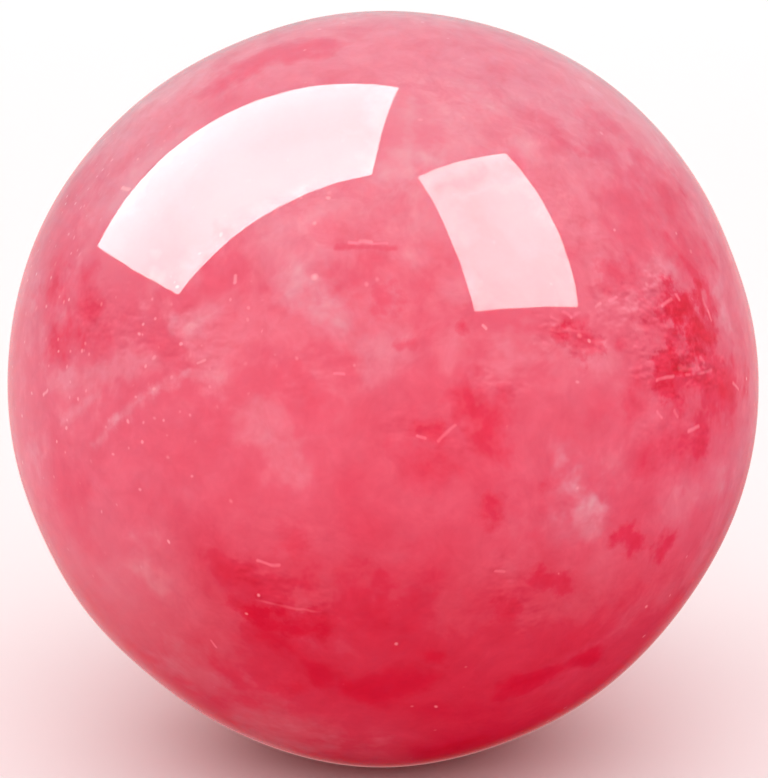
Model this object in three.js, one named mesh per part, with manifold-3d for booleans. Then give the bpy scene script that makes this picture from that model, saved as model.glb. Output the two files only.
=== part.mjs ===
import * as THREE from 'three';
import { mergeVertices } from 'three/addons/utils/BufferGeometryUtils.js';
import Module from 'manifold-3d';

// A polished ball of translucent rhodonite, ground from one stone. Millimetres, +Z up.
// The origin is the middle of the small flat that the ball rests on.

// Driving dimensions
const BALL_RADIUS = 20;
const REST_FLAT_DEPTH = 0.28;
const FACE_SPLITS = 15;

// Grinding leaves the ball a little uneven. Each swell is a broad, shallow rise, or a flatter
// place where its height is below zero. heading turns about +Z from +X towards +Y, lift rises
// from the ball's equator and spread is the swell's reach, all in degrees. height is in mm.
const SWELLS = [
  { heading: -94, lift: -68, height: 0.29, spread: 17 },
  { heading: 86, lift: -68, height: 0.29, spread: 17 },
  { heading: -18, lift: -33, height: -0.18, spread: 16 },
  { heading: -156, lift: -45, height: -0.21, spread: 13 },
  { heading: -166, lift: -22, height: -0.16, spread: 12 },
  { heading: 180, lift: 26, height: 0.1, spread: 16 },
  { heading: 159, lift: 66, height: -0.11, spread: 13 },
  { heading: 11, lift: 56, height: 0.11, spread: 16 },
  { heading: -1, lift: 22, height: -0.11, spread: 9 },
  { heading: 62, lift: -8, height: 0.12, spread: 18 },
  { heading: 118, lift: 14, height: -0.14, spread: 17 },
  { heading: -60, lift: -12, height: -0.06, spread: 20 },
];

const STONE_COLOUR = 0xe2607a;
const POLISH_ROUGHNESS = 0.05;

const wasm = await Module();
wasm.setup();

function directionOf(heading, lift) {
  const turn = THREE.MathUtils.degToRad(heading);
  const rise = THREE.MathUtils.degToRad(lift);
  return new THREE.Vector3(
    Math.cos(rise) * Math.cos(turn),
    Math.cos(rise) * Math.sin(turn),
    Math.sin(rise),
  );
}

// The distance from the ball's centre to its surface along a unit direction.
function surfaceRadius(direction) {
  let radius = BALL_RADIUS;
  for (const { heading, lift, height, spread } of SWELLS) {
    const apart = THREE.MathUtils.radToDeg(direction.angleTo(directionOf(heading, lift)));
    radius += height * Math.exp(-((apart / spread) ** 2));
  }
  return radius;
}

// An even net of triangles over a unit sphere, with one corner of the net straight down.
function unitNet() {
  const goldenRatio = (1 + Math.sqrt(5)) / 2;
  const net = new THREE.IcosahedronGeometry(1, FACE_SPLITS);
  net.rotateX(Math.atan2(1, goldenRatio));
  return net;
}

function unevenBall(centreHeight) {
  const ball = unitNet();
  const positions = ball.getAttribute('position');
  const corner = new THREE.Vector3();
  for (let i = 0; i < positions.count; i += 1) {
    corner.fromBufferAttribute(positions, i).normalize();
    corner.multiplyScalar(surfaceRadius(corner));
    positions.setXYZ(i, corner.x, corner.y, corner.z);
  }
  ball.translate(0, 0, centreHeight);
  return ball;
}

// A block whose top face is the plane that the ball rests on.
function blockBelowRest() {
  const size = 2 * BALL_RADIUS;
  const block = new THREE.BoxGeometry(size, size, size);
  block.translate(0, 0, -size / 2);
  return block;
}

function toSolid(geometry) {
  geometry.deleteAttribute('normal');
  geometry.deleteAttribute('uv');
  const merged = mergeVertices(geometry);
  return new wasm.Manifold(new wasm.Mesh({
    numProp: 3,
    vertProperties: new Float32Array(merged.getAttribute('position').array),
    triVerts: new Uint32Array(merged.getIndex().array),
  }));
}

function toGeometry(solid) {
  const { vertProperties, triVerts } = solid.getMesh();
  const geometry = new THREE.BufferGeometry();
  geometry.setAttribute('position', new THREE.BufferAttribute(vertProperties, 3));
  geometry.setIndex(new THREE.BufferAttribute(triVerts, 1));
  geometry.computeVertexNormals();
  return geometry;
}

function makeBall() {
  const lowestRadius = surfaceRadius(new THREE.Vector3(0, 0, -1));
  const centreHeight = lowestRadius - REST_FLAT_DEPTH;
  const whole = toSolid(unevenBall(centreHeight));
  const rested = whole.subtract(toSolid(blockBelowRest()));
  const material = new THREE.MeshStandardMaterial({
    color: STONE_COLOUR,
    roughness: POLISH_ROUGHNESS,
    metalness: 0,
  });
  const ball = new THREE.Mesh(toGeometry(rested), material);
  ball.name = 'ball';
  return ball;
}

const specimen = new THREE.Group();
specimen.add(makeBall());

export default specimen;
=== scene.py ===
"""A polished ball of translucent rhodonite on a pale floor, under two softboxes."""
import math
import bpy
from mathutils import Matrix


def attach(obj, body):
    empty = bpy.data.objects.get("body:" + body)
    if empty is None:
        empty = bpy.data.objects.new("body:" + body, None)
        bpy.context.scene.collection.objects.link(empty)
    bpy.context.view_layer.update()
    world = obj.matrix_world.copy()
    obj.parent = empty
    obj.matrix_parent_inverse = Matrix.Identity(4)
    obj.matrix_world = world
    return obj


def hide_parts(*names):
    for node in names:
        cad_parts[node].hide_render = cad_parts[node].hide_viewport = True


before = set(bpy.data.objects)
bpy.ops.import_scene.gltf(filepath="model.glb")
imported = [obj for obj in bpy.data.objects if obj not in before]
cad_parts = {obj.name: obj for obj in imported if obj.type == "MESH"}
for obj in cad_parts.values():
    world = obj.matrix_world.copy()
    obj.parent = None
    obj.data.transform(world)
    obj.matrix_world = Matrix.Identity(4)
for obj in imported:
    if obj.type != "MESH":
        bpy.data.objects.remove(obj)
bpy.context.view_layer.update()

from types import SimpleNamespace

import bmesh
import bpy
from mathutils import Euler, Matrix, Vector

# The ball, in metres. The swells are the unevenness that grinding left: heading and lift give
# the way each one faces and spread its reach, in degrees, and height is in metres.
BALL_RADIUS = 0.020
REST_FLAT_DEPTH = 0.00028
SWELLS = [
    {"heading": -94, "lift": -68, "height": 0.00029, "spread": 17},
    {"heading": 86, "lift": -68, "height": 0.00029, "spread": 17},
    {"heading": -18, "lift": -33, "height": -0.00018, "spread": 16},
    {"heading": -156, "lift": -45, "height": -0.00021, "spread": 13},
    {"heading": -166, "lift": -22, "height": -0.00016, "spread": 12},
    {"heading": 180, "lift": 26, "height": 0.0001, "spread": 16},
    {"heading": 159, "lift": 66, "height": -0.00011, "spread": 13},
    {"heading": 11, "lift": 56, "height": 0.00011, "spread": 16},
    {"heading": -1, "lift": 22, "height": -0.00011, "spread": 9},
    {"heading": 62, "lift": -8, "height": 0.00012, "spread": 18},
    {"heading": 118, "lift": 14, "height": -0.00014, "spread": 17},
    {"heading": -60, "lift": -12, "height": -0.00006, "spread": 20},
]
NET_SUBDIVISIONS = 7

# The photograph's frame, and where its ball stands in it, in pixels
FRAME_PX = (768, 778)
BALL_CENTRE_PX = (383.2, 386.3)
BALL_RADIUS_PX = 375.6

# The camera
LENS_MM = 150.0
SENSOR_MM = 36.0
CAMERA_LIFT = math.radians(15)


def direction_of(heading, lift):
    """The unit vector that a heading about +Z and a lift from the equator give, in degrees."""
    turn = math.radians(heading)
    rise = math.radians(lift)
    return Vector((
        math.cos(rise) * math.cos(turn),
        math.cos(rise) * math.sin(turn),
        math.sin(rise),
    ))


SWELL_DIRECTIONS = [direction_of(swell["heading"], swell["lift"]) for swell in SWELLS]


def surface_radius(direction):
    """The distance from the ball's centre to its surface along a unit direction."""
    radius = BALL_RADIUS
    for swell, towards in zip(SWELLS, SWELL_DIRECTIONS):
        apart = math.degrees(direction.angle(towards))
        radius += swell["height"] * math.exp(-((apart / swell["spread"]) ** 2))
    return radius


CENTRE_HEIGHT = surface_radius(Vector((0, 0, -1))) - REST_FLAT_DEPTH
BALL_CENTRE = Vector((0, 0, CENTRE_HEIGHT))


def make_ball():
    """The ball as a fine smooth mesh, with the small flat that it rests on."""
    net = bmesh.new()
    bmesh.ops.create_icosphere(net, subdivisions=NET_SUBDIVISIONS, radius=1.0)
    for corner in net.verts:
        direction = corner.co.normalized()
        reach = surface_radius(direction)
        if direction.z * reach < -CENTRE_HEIGHT:
            reach = -CENTRE_HEIGHT / direction.z
        corner.co = BALL_CENTRE + direction * reach
    mesh = bpy.data.meshes.new("polished_ball")
    net.to_mesh(mesh)
    net.free()
    mesh.shade_smooth()
    ball = bpy.data.objects.new("polished_ball", mesh)
    bpy.context.collection.objects.link(ball)
    return ball


# The sockets of a Mix node that mixes colours. It has others with the same names.
MIX_FACTOR, MIX_A, MIX_B = 0, 6, 7
MIX_RESULT = 2


class Nodes:
    """Builds shader nodes. Each method adds one and gives back its output socket."""

    def __init__(self, tree):
        self.tree = tree

    def add(self, kind, settings, inputs, output=0):
        """A node of any kind. Each input is a fixed value or another node's output socket."""
        node = self.tree.nodes.new(kind)
        for name, value in settings.items():
            setattr(node, name, value)
        for key, value in inputs.items():
            if isinstance(value, bpy.types.NodeSocket):
                self.tree.links.new(value, node.inputs[key])
            else:
                node.inputs[key].default_value = value
        return node.outputs[output]

    def maths(self, operation, a, b=0.0, c=0.0):
        return self.add("ShaderNodeMath", {"operation": operation}, {0: a, 1: b, 2: c})

    def vector(self, operation, a, b):
        output = "Value" if operation in ("DISTANCE", "DOT_PRODUCT") else "Vector"
        return self.add("ShaderNodeVectorMath", {"operation": operation}, {0: a, 1: b}, output)

    def scaled(self, a, scale):
        return self.add("ShaderNodeVectorMath", {"operation": "SCALE"}, {0: a, "Scale": scale})

    def fade(self, value, low, high, bottom=0.0, top=1.0):
        """A smooth step from bottom to top as value goes from low to high."""
        return self.add(
            "ShaderNodeMapRange",
            {"interpolation_type": "SMOOTHSTEP"},
            {"Value": value, "From Min": low, "From Max": high, "To Min": bottom, "To Max": top},
        )

    def noise(self, place, scale, detail, roughness=0.5, output=0):
        return self.add(
            "ShaderNodeTexNoise",
            {},
            {"Vector": place, "Scale": scale, "Detail": detail, "Roughness": roughness},
            output,
        )

    def blend(self, factor, a, b):
        """Colour a where factor is 0 and colour b where it is 1."""
        inputs = {MIX_FACTOR: factor, MIX_A: a, MIX_B: b}
        return self.add("ShaderNodeMix", {"data_type": "RGBA"}, inputs, MIX_RESULT)


def view_axes():
    """The camera's right, its up, and the way back from the ball to the camera."""
    right = Vector((1, 0, 0))
    towards = Vector((0, -math.cos(CAMERA_LIFT), math.sin(CAMERA_LIFT)))
    return right, towards.cross(right), towards


RIGHT, UP, TOWARDS = view_axes()
FOCAL_PX = LENS_MM / SENSOR_MM * max(FRAME_PX)
CAMERA_REACH = math.hypot(FOCAL_PX / BALL_RADIUS_PX, 1.0)  # in ball radii from the ball's centre


def on_stone(pixel):
    """The point of the ball, in ball radii from its centre, that a pixel of the frame shows."""
    across = pixel[0] - BALL_CENTRE_PX[0]
    above = BALL_CENTRE_PX[1] - pixel[1]
    ray = (RIGHT * across + UP * above - TOWARDS * FOCAL_PX).normalized()
    eye = TOWARDS * CAMERA_REACH
    along = -eye.dot(ray)
    inside = max(0.0, along * along - eye.dot(eye) + 1.0)
    return eye + ray * (along - math.sqrt(inside))


# What lies in the stone on the side that the frame shows. Each row runs from one pixel to
# another, reaches so many pixels to each side, and adds its depth to the stone's tone, which
# goes from 0 for the palest pink to 1 for the deepest red.
SMOOTH_ZONES = [
    ((140, 600), (140, 600), 142, -0.14),  # the dusty zone low on the left
    ((95, 640), (230, 722), 84, -0.18),
    ((270, 742), (370, 758), 66, -0.34),
    ((302, 726), (365, 738), 88, -0.26),
    ((250, 215), (400, 190), 80, -0.05),
    ((250, 55), (520, 55), 110, 0.04),  # the top, a little deeper
]
PALE_VEILS = [
    ((195, 675), (290, 735), 58, -0.20),
    ((60, 378), (150, 362), 24, -0.09),  # left, under the sparkles
    ((195, 325), (215, 360), 36, -0.07),
    ((182, 318), (212, 303), 24, -0.08),
    ((176, 505), (162, 580), 42, -0.09),
    ((302, 284), (324, 310), 32, -0.10),
    ((335, 315), (372, 350), 46, -0.08),
    ((468, 346), (468, 346), 26, -0.07),
    ((520, 338), (545, 350), 26, -0.08),
    ((266, 438), (282, 444), 46, -0.11),
    ((25, 452), (75, 454), 34, -0.07),
    ((500, 365), (615, 360), 24, -0.06),
    ((588, 496), (596, 522), 30, -0.10),  # the whitish cloud on the right
    ((530, 470), (590, 560), 54, -0.06),
    ((592, 462), (618, 458), 38, -0.13),
    ((566, 486), (584, 488), 30, -0.13),
    ((535, 620), (575, 605), 30, -0.06),
    ((640, 610), (700, 560), 34, -0.05),
    ((700, 560), (738, 470), 30, -0.05),
    ((425, 185), (490, 130), 74, -0.07),
    ((384, 110), (384, 180), 40, -0.05),
    ((190, 120), (120, 195), 40, -0.07),
    ((105, 620), (150, 650), 44, -0.06),
    ((436, 258), (452, 272), 30, -0.06),
    ((500, 520), (522, 542), 42, -0.12),
    ((668, 508), (712, 486), 34, -0.12),
    ((728, 318), (738, 352), 30, -0.12),
    ((228, 664), (228, 664), 32, -0.11),
    ((156, 284), (158, 302), 30, -0.08),
    ((430, 160), (430, 160), 24, -0.08),
]
DEEP_PATCHES = [
    ((76, 315), (76, 315), 56, 0.18),  # left, among the sparkles
    ((84, 276), (92, 330), 34, 0.08),
    ((228, 264), (228, 264), 38, 0.10),
    ((225, 82), (312, 46), 34, 0.14),
    ((606, 138), (640, 236), 56, 0.12),
    ((666, 190), (702, 290), 54, 0.19),
    ((636, 384), (735, 390), 34, 0.17),
    ((715, 235), (732, 306), 50, 0.12),
    ((640, 402), (720, 406), 28, 0.11),
    ((655, 452), (700, 444), 40, 0.18),
    ((482, 399), (498, 438), 27, 0.30),  # the heart of the stone
    ((440, 400), (500, 465), 62, 0.07),
    ((408, 468), (440, 476), 24, 0.11),
    ((312, 402), (312, 402), 44, 0.12),
    ((345, 490), (365, 530), 34, 0.06),
    ((240, 578), (275, 598), 24, 0.16),
    ((215, 560), (300, 570), 42, 0.06),
    ((271, 637), (318, 671), 28, 0.24),
    ((370, 690), (430, 678), 32, 0.19),
    ((392, 702), (392, 702), 27, 0.10),
    ((408, 610), (430, 650), 30, 0.11),
    ((518, 682), (598, 658), 22, 0.34),
    ((570, 640), (605, 632), 22, 0.08),
    ((50, 296), (60, 345), 38, 0.21),
    ((330, 610), (380, 625), 36, 0.08),
    ((360, 594), (360, 594), 44, 0.12),
    ((545, 126), (556, 138), 42, 0.10),
    ((450, 186), (512, 164), 24, 0.13),
    ((314, 229), (320, 231), 24, 0.10),
    ((76, 190), (58, 262), 56, 0.12),
    ((62, 470), (76, 520), 54, 0.11),
    ((718, 416), (738, 404), 56, 0.15),
    ((606, 412), (616, 424), 28, 0.09),
    ((395, 566), (425, 562), 30, 0.08),
    ((205, 405), (205, 405), 40, 0.06),
    ((712, 372), (742, 366), 40, 0.18),
    ((712, 218), (690, 182), 60, 0.10),
]
SMALL_SPOTS = [
    ((335, 737), (392, 741), 18, -0.08),
    ((650, 266), (676, 276), 20, -0.06),
    ((726, 382), (726, 382), 24, 0.08),
    ((95, 446), (117, 420), 9, -0.09),  # two curved streaks on the left
    ((117, 420), (153, 391), 11, -0.11),
    ((153, 391), (184, 376), 9, -0.08),
    ((62, 420), (100, 396), 9, -0.07),
    ((184, 376), (224, 378), 8, -0.06),
    ((164, 345), (164, 345), 24, 0.07),
    ((668, 238), (700, 286), 9, 0.13),
    ((612, 275), (630, 277), 24, 0.15),
    ((668, 306), (686, 302), 26, 0.34),  # the crumpled cluster on the right
    ((684, 314), (706, 333), 32, 0.40),
    ((698, 345), (698, 345), 30, 0.25),
    ((690, 361), (678, 364), 18, 0.14),
    ((667, 369), (667, 369), 27, 0.34),
    ((662, 384), (704, 380), 20, 0.14),
    ((656, 326), (682, 346), 34, 0.15),
    ((676, 334), (686, 348), 22, 0.14),
    ((698, 290), (704, 312), 10, 0.34),
    ((706, 286), (712, 310), 14, 0.22),
    ((578, 336), (590, 344), 18, 0.24),
    ((560, 336), (560, 336), 11, 0.24),
    ((568, 321), (584, 322), 10, 0.12),
    ((620, 345), (620, 345), 12, 0.14),
    ((462, 328), (462, 328), 9, 0.22),
    ((398, 348), (414, 343), 7, 0.12),
    ((338, 247), (396, 248), 4, 0.09),
    ((387, 302), (387, 302), 20, 0.12),
    ((520, 327), (545, 329), 9, 0.06),
    ((418, 430), (438, 432), 14, 0.14),
    ((490, 506), (496, 520), 16, 0.15),
    ((297, 541), (297, 541), 25, 0.10),
    ((240, 605), (262, 612), 16, 0.16),
    ((262, 616), (318, 628), 22, 0.26),
    ((282, 690), (300, 688), 14, 0.14),
    ((435, 658), (435, 658), 16, 0.16),
    ((422, 750), (476, 738), 16, 0.16),
    ((620, 536), (634, 544), 20, 0.20),
    ((662, 552), (670, 538), 20, 0.18),
    ((540, 576), (566, 586), 15, 0.16),
    ((507, 613), (507, 613), 18, 0.16),
    ((543, 487), (543, 487), 11, 0.14),
]

# Where the stone is hazy: its pink is greyer there. The last number is how hazy.
HAZES = [
    ((90, 565), (200, 690), 100, 0.25),
    ((580, 500), (580, 500), 68, 0.90),
    ((700, 600), (740, 470), 60, 0.90),
    ((560, 680), (650, 620), 56, 0.60),
    ((90, 130), (140, 200), 70, 0.60),
    ((470, 60), (600, 150), 80, 0.80),
    ((270, 250), (390, 360), 50, 0.60),
]

# Where small cracks crumple the stone
CRUMPLES = [
    ((650, 300), (690, 350), 46, 1.0),
    ((650, 372), (715, 370), 30, 1.0),
    ((614, 305), (644, 355), 40, 0.6),
    ((554, 328), (590, 342), 24, 1.0),
    ((560, 200), (580, 225), 26, 0.3),
    ((650, 420), (700, 440), 32, 0.4),
    ((400, 430), (460, 445), 26, 0.4),
    ((488, 380), (512, 392), 18, 0.6),
    ((250, 575), (320, 606), 30, 0.6),
    ((500, 570), (530, 620), 26, 0.5),
    ((90, 320), (205, 350), 40, 0.5),
    ((300, 380), (350, 360), 30, 0.3),
]

# Where the stone is calm, without clouds
CALMS = [
    ((140, 230), (250, 145), 84, 1.0),
    ((250, 145), (375, 128), 72, 1.0),
    ((475, 200), (530, 290), 62, 0.8),
    ((330, 50), (650, 130), 90, 0.25),
    ((690, 520), (730, 440), 46, 0.5),
    ((90, 560), (200, 690), 90, 0.5),
]

# Painted glints along thin edges of cracks. The last number is how bright.
CRACK_GLINTS = [
    ((350, 243), (388, 243), 2.6, 0.46),
    ((258, 561), (279, 566), 2.8, 0.38),
    ((258, 601), (322, 613), 2.6, 0.18),
    ((417, 437), (425, 438), 2.6, 0.50),
    ((439, 441), (456, 425), 2.4, 0.30),
    ((334, 375), (345, 375), 2.4, 0.40),
    ((658, 380), (674, 377), 2.8, 0.40),
    ((680, 368), (698, 366), 4.4, 0.18),
    ((686, 374), (712, 371), 2.6, 0.26),
    ((640, 310), (661, 306), 2.6, 0.24),
    ((661, 306), (671, 299), 2.8, 0.40),
    ((675, 294), (678, 300), 3.0, 0.36),
    ((708, 311), (711, 320), 2.8, 0.36),
    ((704, 300), (708, 311), 3.6, 0.16),
    ((700, 357), (703, 362), 3.0, 0.20),
    ((552, 318), (563, 323), 2.6, 0.20),
    ((564, 312), (572, 319), 2.6, 0.26),
    ((572, 319), (584, 312), 2.6, 0.26),
    ((552, 329), (590, 334), 2.4, 0.18),
    ((610, 301), (616, 298), 3.0, 0.44),
    ((733, 383), (739, 390), 2.8, 0.34),
    ((211, 640), (216, 648), 2.8, 0.36),
    ((688, 431), (699, 427), 3.0, 0.44),
    ((658, 412), (661, 418), 2.8, 0.44),
    ((674, 412), (678, 418), 2.6, 0.34),
    ((497, 572), (505, 574), 2.6, 0.34),
]

# Painted glints of single flecks. The last number is how bright.
FLECK_GLINTS = [
    ((580, 337), (580, 337), 4.2, 0.30),
    ((360, 241), (372, 241), 2.8, 0.34),
    ((596, 308), (601, 306), 2.6, 0.26),
    ((647, 285), (647, 285), 3.4, 0.28),
    ((316, 276), (316, 276), 4.8, 0.66),
    ((366, 284), (366, 284), 3.4, 0.36),
    ((377, 280), (377, 280), 3.0, 0.30),
    ((483, 326), (486, 329), 2.8, 0.50),
    ((296, 359), (296, 359), 2.8, 0.40),
    ((44, 396), (48, 390), 2.8, 0.55),
    ((123, 187), (128, 190), 3.8, 0.75),
    ((138, 334), (138, 334), 3.2, 0.50),
    ((153, 359), (153, 359), 3.6, 0.45),
    ((234, 277), (234, 284), 3.0, 0.50),
    ((198, 364), (206, 362), 2.2, 0.36),
    ((422, 119), (422, 119), 3.2, 0.40),
    ((603, 134), (603, 134), 3.2, 0.45),
]


# Every patch fades in a straight line, which starts this share of the fading width late and
# ends as much early, so that it looks like a smooth fade.
FADE_TRIM = 0.1


def patch_group(long):
    """A group that adds one patch's depth to a running sum. A long patch lies along the line
    from Start to End and a round one about Start. Edge plus Slope times the distance is how
    much of the patch is left there, from 1 in its core to 0 outside it."""
    group = bpy.data.node_groups.new("long_patch" if long else "round_patch", "ShaderNodeTree")
    interface = group.interface
    interface.new_socket("Sum", in_out="OUTPUT", socket_type="NodeSocketFloat")
    for name in ("Sum", "Edge", "Slope", "Depth"):
        interface.new_socket(name, in_out="INPUT", socket_type="NodeSocketFloat")
    for name in ("Place", "Start", "End"):
        interface.new_socket(name, in_out="INPUT", socket_type="NodeSocketVector")
    nodes = Nodes(group)
    given = group.nodes.new("NodeGroupInput").outputs
    if long:
        apart = distance_to_line(nodes, given["Place"], given["Start"], given["End"])
    else:
        apart = nodes.vector("DISTANCE", given["Place"], given["Start"])
    left = nodes.maths("MULTIPLY_ADD", apart, given["Slope"], given["Edge"])
    left = nodes.add("ShaderNodeClamp", {}, {"Value": left})
    total = nodes.maths("MULTIPLY_ADD", left, given["Depth"], given["Sum"])
    result = group.nodes.new("NodeGroupOutput")
    group.links.new(total, result.inputs["Sum"])
    return group


def distance_to_line(nodes, place, start, end):
    """How far a place is from the nearest point between start and end."""
    axis = nodes.vector("SUBTRACT", end, start)
    length_squared = nodes.vector("DOT_PRODUCT", axis, axis)
    pace = nodes.scaled(axis, nodes.maths("DIVIDE", 1.0, length_squared))
    offset = nodes.vector("SUBTRACT", place, start)
    along = nodes.vector("DOT_PRODUCT", offset, pace)
    along = nodes.add("ShaderNodeClamp", {}, {"Value": along})
    return nodes.vector("DISTANCE", offset, nodes.scaled(axis, along))


def add_patches(nodes, groups, place, patches, core=0.0, stir=0.0):
    """The sum of a list of patches at one place in the stone. Each is whole in its core, which
    is a share of its reach, and stir makes its edge ragged."""
    trim = FADE_TRIM * (1.0 - core)
    steepness = 1.0 / (1.0 - core - 2.0 * trim)
    edge = nodes.maths("MULTIPLY_ADD", stir, -steepness, (1.0 - trim) * steepness)
    total = 0.0
    for start, end, reach, depth in patches:
        inputs = {
            "Sum": total,
            "Edge": edge,
            "Slope": -steepness * BALL_RADIUS_PX / reach,
            "Depth": depth,
            "Place": place,
            "Start": on_stone(start),
            "End": on_stone(end),
        }
        total = nodes.add("ShaderNodeGroup", {"node_tree": groups[start != end]}, inputs)
    return total


def stone_space(nodes):
    """Places in the stone, counted in ball radii from the ball's centre."""
    place = nodes.add("ShaderNodeTexCoord", {}, {}, "Object")
    centred = nodes.vector("SUBTRACT", place, BALL_CENTRE)
    return nodes.scaled(centred, 1.0 / BALL_RADIUS)


def shaken(nodes, place, scale, amount, detail):
    """The same place, pushed about by noise so that edges wander."""
    push = nodes.noise(place, scale, detail, output="Color")
    push = nodes.vector("SUBTRACT", push, (0.5, 0.5, 0.5))
    return nodes.vector("ADD", place, nodes.scaled(push, amount))


def centred_noise(nodes, place, amount, **settings):
    """Noise about zero, with a spread of its amount."""
    noise = nodes.noise(place, **settings)
    return nodes.maths("MULTIPLY_ADD", noise, amount, -0.5 * amount)


def total_of(nodes, *terms):
    """The sum of several sockets."""
    total = terms[0]
    for term in terms[1:]:
        total = nodes.maths("ADD", total, term)
    return total


# Noise that pushes places about. Scales are in waves for each ball radius.
SLOW_WANDER = {"scale": 3.0, "amount": 0.12, "detail": 1.0}
QUICK_WANDER = {"scale": 10.0, "amount": 0.07, "detail": 2.0}
CLOSE_WANDER = {"scale": 16.0, "amount": 0.024, "detail": 1.0}

# Noise that makes the edges of large and of small patches ragged
LARGE_RAGS = {"scale": 9.0, "amount": 2.2, "detail": 3.0, "roughness": 0.6}
SMALL_RAGS = {"scale": 22.0, "amount": 2.2, "detail": 3.0, "roughness": 0.62}

# Mottling, in units of tone
BROAD_CLOUDS = {"scale": 2.3, "amount": 0.20, "detail": 2.0}
MIDDLE_CLOUDS = {"scale": 7.0, "amount": 0.24, "detail": 4.0}
SMALL_MOTTLES = {"scale": 19.0, "amount": 0.105, "detail": 3.0}
GRAIN = {"scale": 60.0, "amount": 0.035, "detail": 1.0}

# The painted shade by height, paler above and much deeper red low down: the tone at the top, and
# what it gains to the bottom, slowly and steeply
TOP_TONE = 0.095
SLOW_GAIN = 0.28
STEEP_GAIN = 0.55
STEEP_POWER = 5.0

# The shares of their reach in which the patches are whole
ZONE_CORE = 0.2
CRUMPLE_CORE = 0.2
CALM_CORE = 0.6
HAZE_CORE = 0.1
GLINT_CORE = 0.1

# How calm the calmest stone is, from 0 to 1
MOST_CALM = 0.94

# The far side has no placed patches. It fades in as a place's distance towards the camera goes
# from the first number to the second. Noise makes its deep masses, pale veils and crumples,
# each fading in as the noise goes from low to high.
FAR_FADE = (0.15, -0.2)
FAR_CLOUDS = {"scale": 2.1, "detail": 3.0, "roughness": 0.62}
FAR_DEEP = {"low": 0.52, "high": 0.68, "top": 0.24}
FAR_PALE = {"low": 0.46, "high": 0.34, "top": -0.10}
FAR_FOLD_CLOUDS = {"scale": 3.4, "detail": 2.0}
FAR_FOLDS = {"low": 0.56, "high": 0.70, "top": 0.6}

# The folds in crumpled stone, painted in light and shade: their noise, their depth in tone, how
# much flatter than wide they are, the way from a fold's dark side to its bright one, and the
# dark specks among them
FOLD_NOISE = {"scale": 15.0, "detail": 2.0}
FOLD_SHADE_DEPTH = 0.6
FOLD_SQUEEZE = 0.7
FOLD_STEP = UP * 0.013 - RIGHT * 0.003
SPECKS = {"low": 0.10, "high": 0.40, "top": 0.05}

# Tiny flecks that shine, as painted glints. They crowd about one spot on the left, where most
# cells have one.
SPARKLE_CENTRE_PX = (100, 290)
SPARKLE_CROWD = {"low": 0.75, "high": 0.25, "bottom": 0.05, "top": 0.8}
SPARKLE_CELLS = 30.0
SPARKLE_SIZE = {"low": 0.22, "high": 0.05}
SPARKLE_LEAST = 0.10
SPARKLE_SPREAD = 0.5

# The stone's colours, from the palest pink to the deepest red
TONES = [
    (0.00, (0.88, 0.440, 0.510)),
    (0.12, (0.87, 0.270, 0.350)),
    (0.25, (0.85, 0.148, 0.230)),
    (0.50, (0.82, 0.046, 0.110)),
    (0.75, (0.785, 0.015, 0.062)),
    (1.00, (0.735, 0.006, 0.040)),
]

# What haze and the painted shade on the ball's lower part multiply those colours by, and
# between which heights that painted shade fades in
HAZE_TINT = (0.95, 1.08, 1.07, 1.0)
LOW_SHADE_TINT = (0.86, 0.86, 0.76, 1.0)
LOW_SHADE_FADE = (-0.2, -0.7)
WHITE = (1.0, 1.0, 1.0, 1.0)

# The colours of the painted glints on crack edges and on flecks
CRACK_GLINT_COLOUR = (1.0, 0.36, 0.46, 1.0)
FLECK_GLINT_COLOUR = (1.0, 0.54, 0.59, 1.0)

# How much light the clear polish lets through, how much less of it for each unit of tone in the
# mottles, the painted fold shade and the clouds, and how much more of it over the painted glints
# of cracks and flecks. This keeps fine detail crisp, because scattering in the stone blurs red
# light.
CLARITY = 0.95
TEXTURE_SHADING = 1.2
FOLD_SHADING = 0.9
CLOUD_SHADING = 0.3
GLINT_CLARITY = 0.15

# The polish's roughness and what chipped and crumpled stone adds to it
ROUGHNESS = 0.03
CHIP_ROUGHNESS = 0.01
CRUMPLE_ROUGHNESS = 0.02

# The faint ripples that polishing left: their waves in a metre, and their height in metres
RIPPLE_SCALE = 600.0
RIPPLE_HEIGHT = 0.000003

# The shader's fixed values. Light scatters inside the stone, red furthest, and all gloss comes
# from the polish.
SHADER_VALUES = {
    "Specular IOR Level": 0.0,
    "Subsurface Weight": 1.0,
    "Subsurface Radius": (1.0, 0.025, 0.03),
    "Subsurface Scale": 0.007,
    "Coat Weight": 1.0,
    "Coat IOR": 1.38,
}


def stone_field(nodes):
    """What the stone's layers share: the patch groups, the true place and two that wander, the
    noise that makes edges ragged, and where the stone is far, stirred or crumpled."""
    field = SimpleNamespace(groups={long: patch_group(long) for long in (False, True)})
    field.place = stone_space(nodes)
    field.wavy = shaken(nodes, shaken(nodes, field.place, **SLOW_WANDER), **QUICK_WANDER)
    field.near = shaken(nodes, field.place, **CLOSE_WANDER)
    field.rags = centred_noise(nodes, field.place, **LARGE_RAGS)
    field.chips = centred_noise(nodes, field.place, **SMALL_RAGS)
    field.far = nodes.fade(nodes.vector("DOT_PRODUCT", field.place, TOWARDS), *FAR_FADE)
    calm = add_patches(nodes, field.groups, field.place, CALMS, CALM_CORE)
    calm = nodes.maths("MINIMUM", calm, MOST_CALM)
    field.stirred = nodes.maths("SUBTRACT", 1.0, calm)
    placed = add_patches(nodes, field.groups, field.near, CRUMPLES, CRUMPLE_CORE, field.chips)
    field.crumples = nodes.maths("ADD", placed, far_crumples(nodes, field))
    return field


def far_crumples(nodes, field):
    """Where small cracks crumple the far side."""
    clouds = nodes.noise(field.place, **FAR_FOLD_CLOUDS)
    return nodes.maths("MULTIPLY", nodes.fade(clouds, **FAR_FOLDS), field.far)


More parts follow.
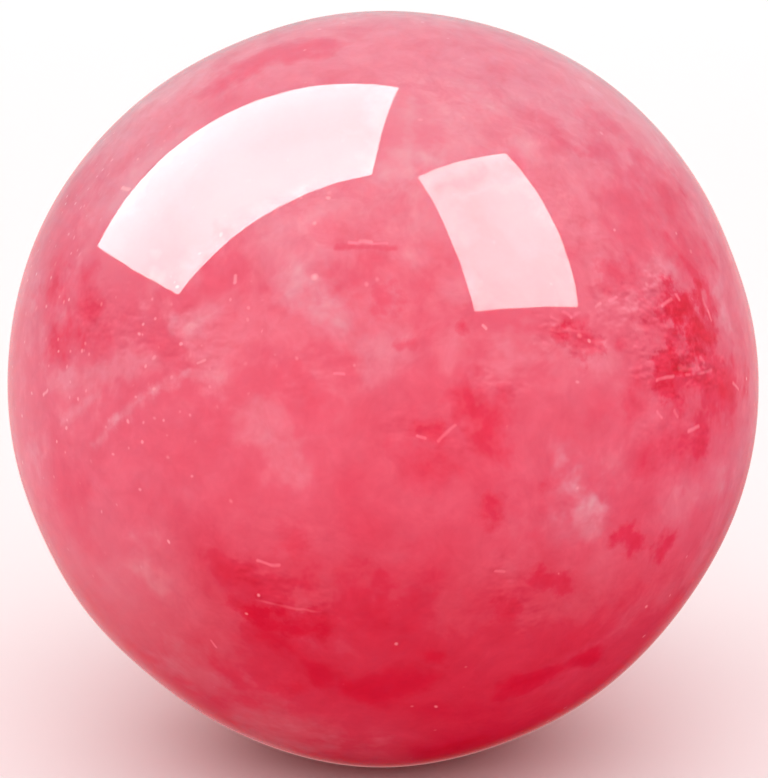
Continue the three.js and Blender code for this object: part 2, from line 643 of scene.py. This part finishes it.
def far_masses(nodes, field):
    """Deep red masses and pale veils on the far side."""
    clouds = nodes.noise(field.wavy, **FAR_CLOUDS)
    masses = nodes.maths(
        "ADD", nodes.fade(clouds, **FAR_DEEP), nodes.fade(clouds, **FAR_PALE)
    )
    return nodes.maths("MULTIPLY", masses, field.far)


def painted_height_shade(nodes, place):
    """Painted shade: paler stone above and much deeper red low down."""
    height = nodes.vector("DOT_PRODUCT", place, UP)
    sink = nodes.maths("SUBTRACT", 0.5, nodes.maths("MULTIPLY", height, 0.5))
    slow = nodes.maths("MULTIPLY", sink, SLOW_GAIN)
    steep = nodes.maths("MULTIPLY", nodes.maths("POWER", sink, STEEP_POWER), STEEP_GAIN)
    return total_of(nodes, slow, steep, TOP_TONE)


def mottles(nodes, field):
    """Soft clouds of tone, and the fine texture that lies over them. Calm stone has little."""
    broad = centred_noise(nodes, field.wavy, **BROAD_CLOUDS)
    middle = centred_noise(nodes, field.wavy, **MIDDLE_CLOUDS)
    clouds = nodes.maths("MULTIPLY_ADD", middle, field.stirred, broad)
    small = centred_noise(nodes, field.wavy, **SMALL_MOTTLES)
    grain = centred_noise(nodes, field.wavy, **GRAIN)
    texture = nodes.maths("MULTIPLY", nodes.maths("ADD", small, grain), field.stirred)
    return clouds, texture


def crumpled(nodes, field):
    """Painted light and shade of small flat folds lit from above, and dark specks, where cracks
    crumple the stone.
    """
    height = nodes.vector("DOT_PRODUCT", field.place, UP * FOLD_SQUEEZE)
    flat = nodes.vector("ADD", field.place, nodes.scaled(UP, height))
    lower = nodes.noise(flat, **FOLD_NOISE)
    upper = nodes.noise(nodes.vector("ADD", flat, FOLD_STEP), **FOLD_NOISE)
    folds = nodes.maths("SUBTRACT", upper, lower)
    specks = nodes.fade(field.chips, **SPECKS)
    depth = nodes.maths("MULTIPLY_ADD", folds, FOLD_SHADE_DEPTH, specks)
    return nodes.maths("MULTIPLY", depth, field.crumples)


def placed_tone(nodes, field):
    """The tone that the placed zones, veils, patches and spots add."""
    zones = add_patches(nodes, field.groups, field.wavy, SMOOTH_ZONES, ZONE_CORE)
    large = PALE_VEILS + DEEP_PATCHES
    patches = add_patches(nodes, field.groups, field.wavy, large, stir=field.rags)
    spots = add_patches(nodes, field.groups, field.near, SMALL_SPOTS, stir=field.chips)
    return total_of(nodes, zones, patches, spots)


def sparkles(nodes, field):
    """How strongly the painted glints of tiny flecks shine."""
    crowd = nodes.vector("DISTANCE", field.place, on_stone(SPARKLE_CENTRE_PX))
    share = nodes.fade(crowd, **SPARKLE_CROWD)
    cells = nodes.tree.nodes.new("ShaderNodeTexVoronoi")
    cells.inputs["Scale"].default_value = SPARKLE_CELLS
    nodes.tree.links.new(field.near, cells.inputs["Vector"])
    draw, second_draw = (
        nodes.add("ShaderNodeSeparateColor", {}, {0: cells.outputs["Color"]}, channel)
        for channel in range(2)
    )
    chosen = nodes.maths("LESS_THAN", draw, share)
    bright = nodes.maths("MULTIPLY_ADD", second_draw, SPARKLE_SPREAD, SPARKLE_LEAST)
    fleck = nodes.fade(cells.outputs["Distance"], **SPARKLE_SIZE)
    return nodes.maths("MULTIPLY", nodes.maths("MULTIPLY", fleck, chosen), bright)


def glints(nodes, field):
    """How bright the painted glints on crack edges are, and how bright those of flecks are."""
    cracks = add_patches(nodes, field.groups, field.near, CRACK_GLINTS, GLINT_CORE)
    placed = add_patches(nodes, field.groups, field.near, FLECK_GLINTS, GLINT_CORE)
    scattered = nodes.maths("MULTIPLY", sparkles(nodes, field), field.stirred)
    return cracks, nodes.maths("MAXIMUM", placed, scattered)


def tone_colour(nodes, tone):
    """The colour on the stone's scale of tones."""
    ramp = nodes.tree.nodes.new("ShaderNodeValToRGB")
    elements = ramp.color_ramp.elements
    while len(elements) < len(TONES):
        elements.new(0.5)
    for element, (position, colour) in zip(elements, TONES):
        element.position = position
        element.color = (*colour, 1.0)
    nodes.tree.links.new(tone, ramp.inputs[0])
    return ramp.outputs[0]


def tinted(nodes, field, colour):
    """The colour, greyer where the stone is hazy, and darker and warmer low down as painted
    shade.
    """
    haze = add_patches(nodes, field.groups, field.wavy, HAZES, HAZE_CORE, field.rags)
    haze = nodes.maths("MINIMUM", haze, 1.0)
    # Painted shade: the lower part darker and warmer
    low = nodes.fade(nodes.vector("DOT_PRODUCT", field.place, UP), *LOW_SHADE_FADE)
    tint = nodes.vector(
        "MULTIPLY", nodes.blend(haze, WHITE, HAZE_TINT), nodes.blend(low, WHITE, LOW_SHADE_TINT)
    )
    return nodes.vector("MULTIPLY", colour, tint)


def polish_roughness(nodes, field):
    """How rough the polish is. It is a little rougher over cracks."""
    roughness = nodes.maths("MULTIPLY_ADD", field.chips, CHIP_ROUGHNESS, ROUGHNESS)
    return nodes.maths("MULTIPLY_ADD", field.crumples, CRUMPLE_ROUGHNESS, roughness)


def polish_ripples(nodes):
    """The polish's normal, which faint ripples bend."""
    place = nodes.add("ShaderNodeTexCoord", {}, {}, "Object")
    waves = nodes.noise(place, RIPPLE_SCALE, detail=0.0)
    inputs = {"Height": waves, "Strength": 1.0, "Distance": RIPPLE_HEIGHT}
    return nodes.add("ShaderNodeBump", {}, inputs)


def polish_clarity(nodes, texture, folds, clouds, cracks, flecks):
    """The light that the polish lets through, as a tint."""
    clear = nodes.maths("MULTIPLY_ADD", texture, -TEXTURE_SHADING, CLARITY)
    clear = nodes.maths("MULTIPLY_ADD", folds, -FOLD_SHADING, clear)
    clear = nodes.maths("MULTIPLY_ADD", clouds, -CLOUD_SHADING, clear)
    # The painted glints of crack edges and flecks let more light through the polish
    bright = nodes.maths("ADD", cracks, flecks)
    clear = nodes.maths("MULTIPLY_ADD", bright, GLINT_CLARITY, clear)
    return nodes.maths("MINIMUM", clear, 1.0)


def make_stone():
    """The polished stone's material."""
    material = bpy.data.materials.new("polished_rhodonite")
    material.use_nodes = True
    tree = material.node_tree
    tree.nodes.clear()
    nodes = Nodes(tree)
    field = stone_field(nodes)
    clouds, texture = mottles(nodes, field)
    # folds: painted light and shade of small folds, with dark specks among them
    folds = crumpled(nodes, field)
    tone = total_of(
        nodes,
        # Painted shade by height: paler above, much deeper red low down
        painted_height_shade(nodes, field.place),
        placed_tone(nodes, field),
        far_masses(nodes, field),
        clouds,
        texture,
        folds,
    )
    cracks, flecks = glints(nodes, field)
    colour = tinted(nodes, field, tone_colour(nodes, tone))
    # Painted glints on crack edges, then on flecks
    colour = nodes.blend(cracks, colour, CRACK_GLINT_COLOUR)
    colour = nodes.blend(flecks, colour, FLECK_GLINT_COLOUR)
    roughness = polish_roughness(nodes, field)
    layers = {
        "Base Color": colour,
        "Roughness": roughness,
        "Coat Roughness": roughness,
        "Coat Tint": polish_clarity(nodes, texture, folds, clouds, cracks, flecks),
        "Coat Normal": polish_ripples(nodes),
    }
    shader = nodes.add("ShaderNodeBsdfPrincipled", {}, {**SHADER_VALUES, **layers})
    output = tree.nodes.new("ShaderNodeOutputMaterial")
    tree.links.new(shader, output.inputs["Surface"])
    return material


# The lights. place is from the ball's centre in metres, turn is an XYZ rotation in degrees, and
# size is width and height in metres. across and up are the shares of a light's brightness at
# the two ends of its width and of its height. The polish mirrors only the softboxes of these,
# and only the panels light the stone and the floor.
SOFTBOXES = [
    {"name": "main_softbox", "place": (-0.150, 0.0231, 0.2587), "turn": (-20.6, -38.2, 3.4),
     "size": (0.381, 0.242), "radiance": 19.5, "across": (0.91, 1.06), "up": (1.15, 0.71)},
    {"name": "second_softbox", "place": (0.1473, -0.0890, 0.2408), "turn": (-51.7, -12.8, -136.3),
     "size": (0.162, 0.247), "radiance": 17.4, "across": (1.0, 1.0), "up": (0.92, 1.02)},
]
PANELS = [
    {"name": "sky_panel", "place": (-0.02, -0.55, 0.9), "turn": (31.4, -1.1, 0.0),
     "size": (1.6, 1.6), "radiance": 1.03, "across": (1.0, 1.0), "up": (1.0, 1.0)},
    {"name": "back_panel", "place": (0.0, 0.9, 0.3), "turn": (-71.6, 0.0, 0.0),
     "size": (1.4, 0.8), "radiance": 1.5, "across": (1.0, 1.0), "up": (1.0, 1.0)},
]
SOFTBOX_COLOUR = (1.0, 0.99, 0.95)
PANEL_COLOUR = (1.0, 1.0, 1.0)

# What the ball's edge mirrors: a pale room, a little warmer in red, which fades out below the
# horizon, and the red glow that the stone throws on the floor. Heights are sines of the angle
# above the horizon, and the room's are counted along a line that leans to the left.
ROOM_LIGHT = 0.52
ROOM_WARMTH = 1.2
ROOM_FADE = (-0.75, -0.16)
ROOM_LEAN = (-0.3, 0.0, 1.0)
GLOW_LIGHT = 0.32
GLOW_FADE = (0.0, -0.15)
STRAIGHT_UP = (0.0, 0.0, 1.0)

FLOOR_HALF = 2.0
FLOOR_COLOUR = (0.96, 0.96, 0.96, 1.0)
FLOOR_ROUGHNESS = 0.9


def make_light(name, place, turn, size, radiance, across, up, mirrored):
    """A rectangular light that the ball mirrors, or that only lights things."""
    light = bpy.data.lights.new(name, "AREA")
    light.shape = "RECTANGLE"
    light.size, light.size_y = size
    light.color = SOFTBOX_COLOUR if mirrored else PANEL_COLOUR
    light.energy = radiance * math.pi * size[0] * size[1]
    light.use_nodes = True
    nodes = Nodes(light.node_tree)
    spot = nodes.add("ShaderNodeNewGeometry", {}, {}, "Parametric")
    strength = 1.0
    for axis, (near_end, far_end) in (("X", across), ("Y", up)):
        along = nodes.add("ShaderNodeSeparateXYZ", {}, {0: spot}, axis)
        ends = {"Value": along, "To Min": near_end, "To Max": far_end}
        level = nodes.add("ShaderNodeMapRange", {}, ends)
        strength = nodes.maths("MULTIPLY", level, strength)
    light.node_tree.links.new(strength, light.node_tree.nodes["Emission"].inputs["Strength"])
    lamp = bpy.data.objects.new(name, light)
    lamp.location = BALL_CENTRE + Vector(place)
    lamp.rotation_euler = Euler([math.radians(angle) for angle in turn])
    lamp.visible_glossy = mirrored
    lamp.visible_diffuse = not mirrored
    bpy.context.collection.objects.link(lamp)


def make_lights():
    for softbox in SOFTBOXES:
        make_light(**softbox, mirrored=True)
    for panel in PANELS:
        make_light(**panel, mirrored=False)


def make_world():
    """The pale room and the red glow."""
    world = bpy.data.worlds.new("pale_room")
    bpy.context.scene.world = world
    world.use_nodes = True
    nodes = Nodes(world.node_tree)
    towards = nodes.add("ShaderNodeTexCoord", {}, {}, "Generated")
    leaning_height = nodes.vector("DOT_PRODUCT", towards, ROOM_LEAN)
    pale = nodes.fade(leaning_height, *ROOM_FADE, top=ROOM_LIGHT)
    height = nodes.vector("DOT_PRODUCT", towards, STRAIGHT_UP)
    glow = nodes.fade(height, *GLOW_FADE, top=GLOW_LIGHT)
    red = nodes.maths("MULTIPLY_ADD", pale, ROOM_WARMTH, glow)
    colour = nodes.add("ShaderNodeCombineColor", {}, {0: red, 1: pale, 2: pale})
    world.node_tree.links.new(colour, world.node_tree.nodes["Background"].inputs["Color"])


def make_floor():
    """The floor, which the ball doesn't mirror."""
    mesh = bpy.data.meshes.new("floor")
    signs = ((-1, -1), (1, -1), (1, 1), (-1, 1))
    corners = [(FLOOR_HALF * x, FLOOR_HALF * y, 0) for x, y in signs]
    mesh.from_pydata(corners, [], [(0, 1, 2, 3)])
    floor = bpy.data.objects.new("floor", mesh)
    bpy.context.collection.objects.link(floor)
    material = bpy.data.materials.new("pale_floor")
    material.use_nodes = True
    shader = material.node_tree.nodes["Principled BSDF"]
    shader.inputs["Base Color"].default_value = FLOOR_COLOUR
    shader.inputs["Roughness"].default_value = FLOOR_ROUGHNESS
    shader.inputs["Specular IOR Level"].default_value = 0.0
    mesh.materials.append(material)
    floor.visible_glossy = False


def make_camera():
    """The camera, which shows the ball at its place in the photograph's frame."""
    distance = CAMERA_REACH * BALL_RADIUS
    metres_per_px = distance / FOCAL_PX
    aside = (FRAME_PX[0] / 2 - BALL_CENTRE_PX[0]) * metres_per_px
    below = (FRAME_PX[1] / 2 - BALL_CENTRE_PX[1]) * metres_per_px
    lens = bpy.data.cameras.new("camera")
    lens.lens = LENS_MM
    lens.sensor_width = SENSOR_MM
    camera = bpy.data.objects.new("camera", lens)
    spot = BALL_CENTRE + TOWARDS * distance + RIGHT * aside - UP * below
    turn = Matrix((RIGHT, UP, TOWARDS)).transposed().to_4x4()
    camera.matrix_world = Matrix.Translation(spot) @ turn
    bpy.context.collection.objects.link(camera)
    bpy.context.scene.camera = camera


ball = make_ball()
ball.data.materials.append(make_stone())
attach(ball, "root")
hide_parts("ball")

make_floor()
make_world()
make_lights()
make_camera()
bpy.context.scene.view_settings.view_transform = "Standard"
